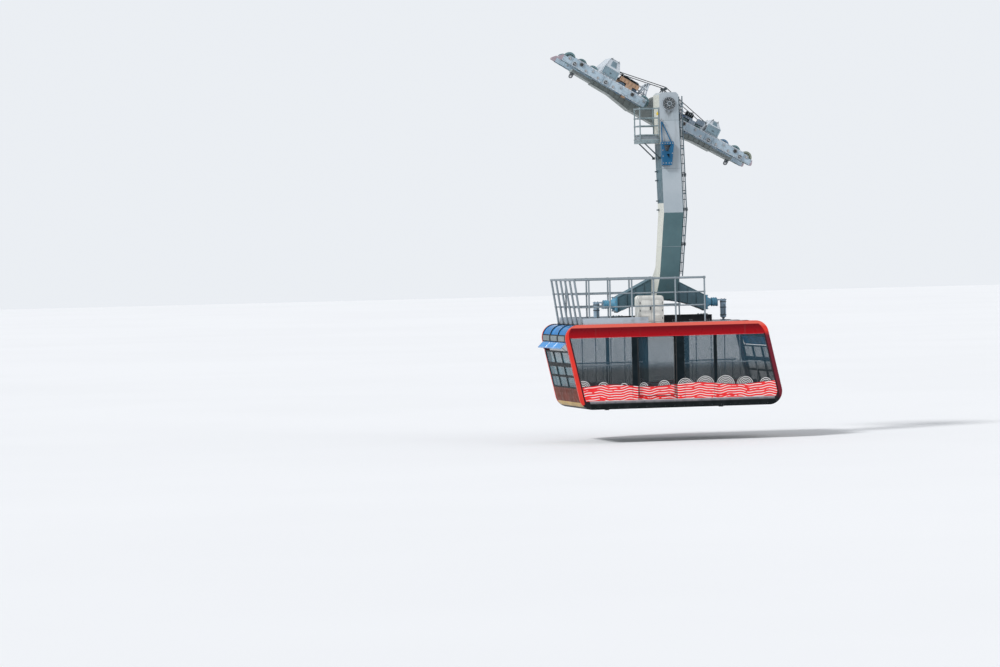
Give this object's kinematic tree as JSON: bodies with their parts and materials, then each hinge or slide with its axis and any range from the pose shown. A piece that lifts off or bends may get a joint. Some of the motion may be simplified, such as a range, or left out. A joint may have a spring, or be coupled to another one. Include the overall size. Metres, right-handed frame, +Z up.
{
  "type": "reversible aerial tram car with cabin, hanger and roped carriage",
  "caption": "Cable car that runs on two track ropes: a long glazed cabin with sliding doors and a roof balcony hangs by a cranked column from a many-wheeled carriage.",
  "frame": {"origin": "midway between the two track ropes, on their centreline, straight below the hanger pin", "axes": "+X points down the line, +Z up, -Y is the side that the hanger passes the ropes on"},
  "size_m": [7.6027, 3.8, 11.9767],
  "materials": {
    "lilac_grey_steel": "satin paint",
    "pale_grey_steel": "satin paint",
    "wheel_steel": "painted, worn bright at the groove",
    "dark_steel": "satin paint",
    "bare_steel": "bare",
    "brake_orange": "matt paint",
    "black_metal": "satin paint",
    "hanger_grey": "satin paint",
    "lift_blue": "satin paint",
    "yoke_blue_grey": "satin paint",
    "galvanised": "galvanised",
    "cabin_red": "gloss paint",
    "tinted_glass": "tinted",
    "panel_red": "gloss paint",
    "bumper_yellow": "satin paint",
    "cabinet_cream": "satin paint",
    "deck_aluminium": "tread plate"
  },
  "bodies": {
    "carriage": {"truck_frames": "lilac_grey_steel", "end_bogies": "lilac_grey_steel", "rocker_pins": "bare_steel", "carriage_beam": "hanger_grey", "hanger_pin": "bare_steel", "brake_housings": "pale_grey_steel", "rope_brakes": "brake_orange", "brake_cylinders": "black_metal", "rope_scrapers": "lilac_grey_steel", "haul_rope_lugs": "dark_steel"},
    "wheelset_upper_1": {"wheelset_upper_1": "wheel_steel"},
    "wheelset_upper_2": {"wheelset_upper_2": "wheel_steel"},
    "wheelset_upper_3": {"wheelset_upper_3": "wheel_steel"},
    "wheelset_upper_4": {"wheelset_upper_4": "wheel_steel"},
    "wheelset_upper_5": {"wheelset_upper_5": "wheel_steel"},
    "wheelset_upper_6": {"wheelset_upper_6": "wheel_steel"},
    "wheelset_lower_1": {"wheelset_lower_1": "wheel_steel"},
    "wheelset_lower_2": {"wheelset_lower_2": "wheel_steel"},
    "wheelset_lower_3": {"wheelset_lower_3": "wheel_steel"},
    "wheelset_lower_4": {"wheelset_lower_4": "wheel_steel"},
    "wheelset_lower_5": {"wheelset_lower_5": "wheel_steel"},
    "wheelset_lower_6": {"wheelset_lower_6": "wheel_steel"},
    "cabin": {"hanger_column": "hanger_grey", "bearing_cover": "dark_steel", "service_platform": "galvanised", "lift_bracket": "lift_blue", "hanger_ladder": "galvanised", "yoke": "yoke_blue_grey", "yoke_buffers": "yoke_blue_grey", "roof_dampers": "yoke_blue_grey", "near_side_frame": "cabin_red", "far_side_frame": "cabin_red", "side_sills": "black_metal", "side_posts": "black_metal", "near_side_windows": "tinted_glass", "far_side_windows": "tinted_glass", "door_tracks": "bare_steel", "end_frames": "dark_steel", "eaves_frames": "dark_steel", "end_windows": "tinted_glass", "eaves_windows": "tinted_glass", "vent_flaps": "tinted_glass", "end_panels": "panel_red", "end_bumpers": "bumper_yellow", "cabin_roof": "pale_grey_steel", "cabin_floor": "deck_aluminium", "underframe": "dark_steel", "handrails": "bare_steel", "grab_poles": "bare_steel", "balcony_deck": "deck_aluminium", "balcony_posts": "galvanised", "balcony_railing": "galvanised", "roof_carrier": "black_metal", "roof_cabinet": "cabinet_cream"},
    "near_door": {"near_door": "black_metal", "near_door_window": "tinted_glass"},
    "far_door": {"far_door": "black_metal", "far_door_window": "tinted_glass"}
  },
  "joints": [
    {"name": "wheelset_upper_1_spin", "type": "hinge", "parent": "carriage", "child": "wheelset_upper_1", "pos_m": [-3.07392, 0, 2.07171], "axis": [0, 1, 0], "continuous": true},
    {"name": "wheelset_upper_2_spin", "type": "hinge", "parent": "carriage", "child": "wheelset_upper_2", "pos_m": [-2.68699, 0, 1.84197], "axis": [0, 1, 0], "continuous": true},
    {"name": "wheelset_upper_3_spin", "type": "hinge", "parent": "carriage", "child": "wheelset_upper_3", "pos_m": [-2.30005, 0, 1.61223], "axis": [0, 1, 0], "continuous": true},
    {"name": "wheelset_upper_4_spin", "type": "hinge", "parent": "carriage", "child": "wheelset_upper_4", "pos_m": [-1.35421, 0, 1.05063], "axis": [0, 1, 0], "continuous": true},
    {"name": "wheelset_upper_5_spin", "type": "hinge", "parent": "carriage", "child": "wheelset_upper_5", "pos_m": [-0.96728, 0, 0.82088], "axis": [0, 1, 0], "continuous": true},
    {"name": "wheelset_upper_6_spin", "type": "hinge", "parent": "carriage", "child": "wheelset_upper_6", "pos_m": [-0.58035, 0, 0.59114], "axis": [0, 1, 0], "continuous": true},
    {"name": "wheelset_lower_1_spin", "type": "hinge", "parent": "carriage", "child": "wheelset_lower_1", "pos_m": [2.96605, 0, -1.34339], "axis": [0, 1, 0], "continuous": true},
    {"name": "wheelset_lower_2_spin", "type": "hinge", "parent": "carriage", "child": "wheelset_lower_2", "pos_m": [2.56909, 0, -1.13144], "axis": [0, 1, 0], "continuous": true},
    {"name": "wheelset_lower_3_spin", "type": "hinge", "parent": "carriage", "child": "wheelset_lower_3", "pos_m": [2.17213, 0, -0.91948], "axis": [0, 1, 0], "continuous": true},
    {"name": "wheelset_lower_4_spin", "type": "hinge", "parent": "carriage", "child": "wheelset_lower_4", "pos_m": [1.20179, 0, -0.40137], "axis": [0, 1, 0], "continuous": true},
    {"name": "wheelset_lower_5_spin", "type": "hinge", "parent": "carriage", "child": "wheelset_lower_5", "pos_m": [0.80484, 0, -0.18941], "axis": [0, 1, 0], "continuous": true},
    {"name": "wheelset_lower_6_spin", "type": "hinge", "parent": "carriage", "child": "wheelset_lower_6", "pos_m": [0.40788, 0, 0.02254], "axis": [0, 1, 0], "continuous": true},
    {"name": "hanger_swing", "type": "hinge", "parent": "carriage", "child": "cabin", "pos_m": [0, 0, 0.46], "axis": [0, 1, 0], "range_deg": [-14, 28]},
    {"name": "near_door_slide", "type": "slide", "parent": "cabin", "child": "near_door", "axis": [1, 0, 0], "range_m": [0, 1.24]},
    {"name": "far_door_slide", "type": "slide", "parent": "cabin", "child": "far_door", "axis": [-1, 0, 0], "range_m": [0, 1.24]}
  ]
}
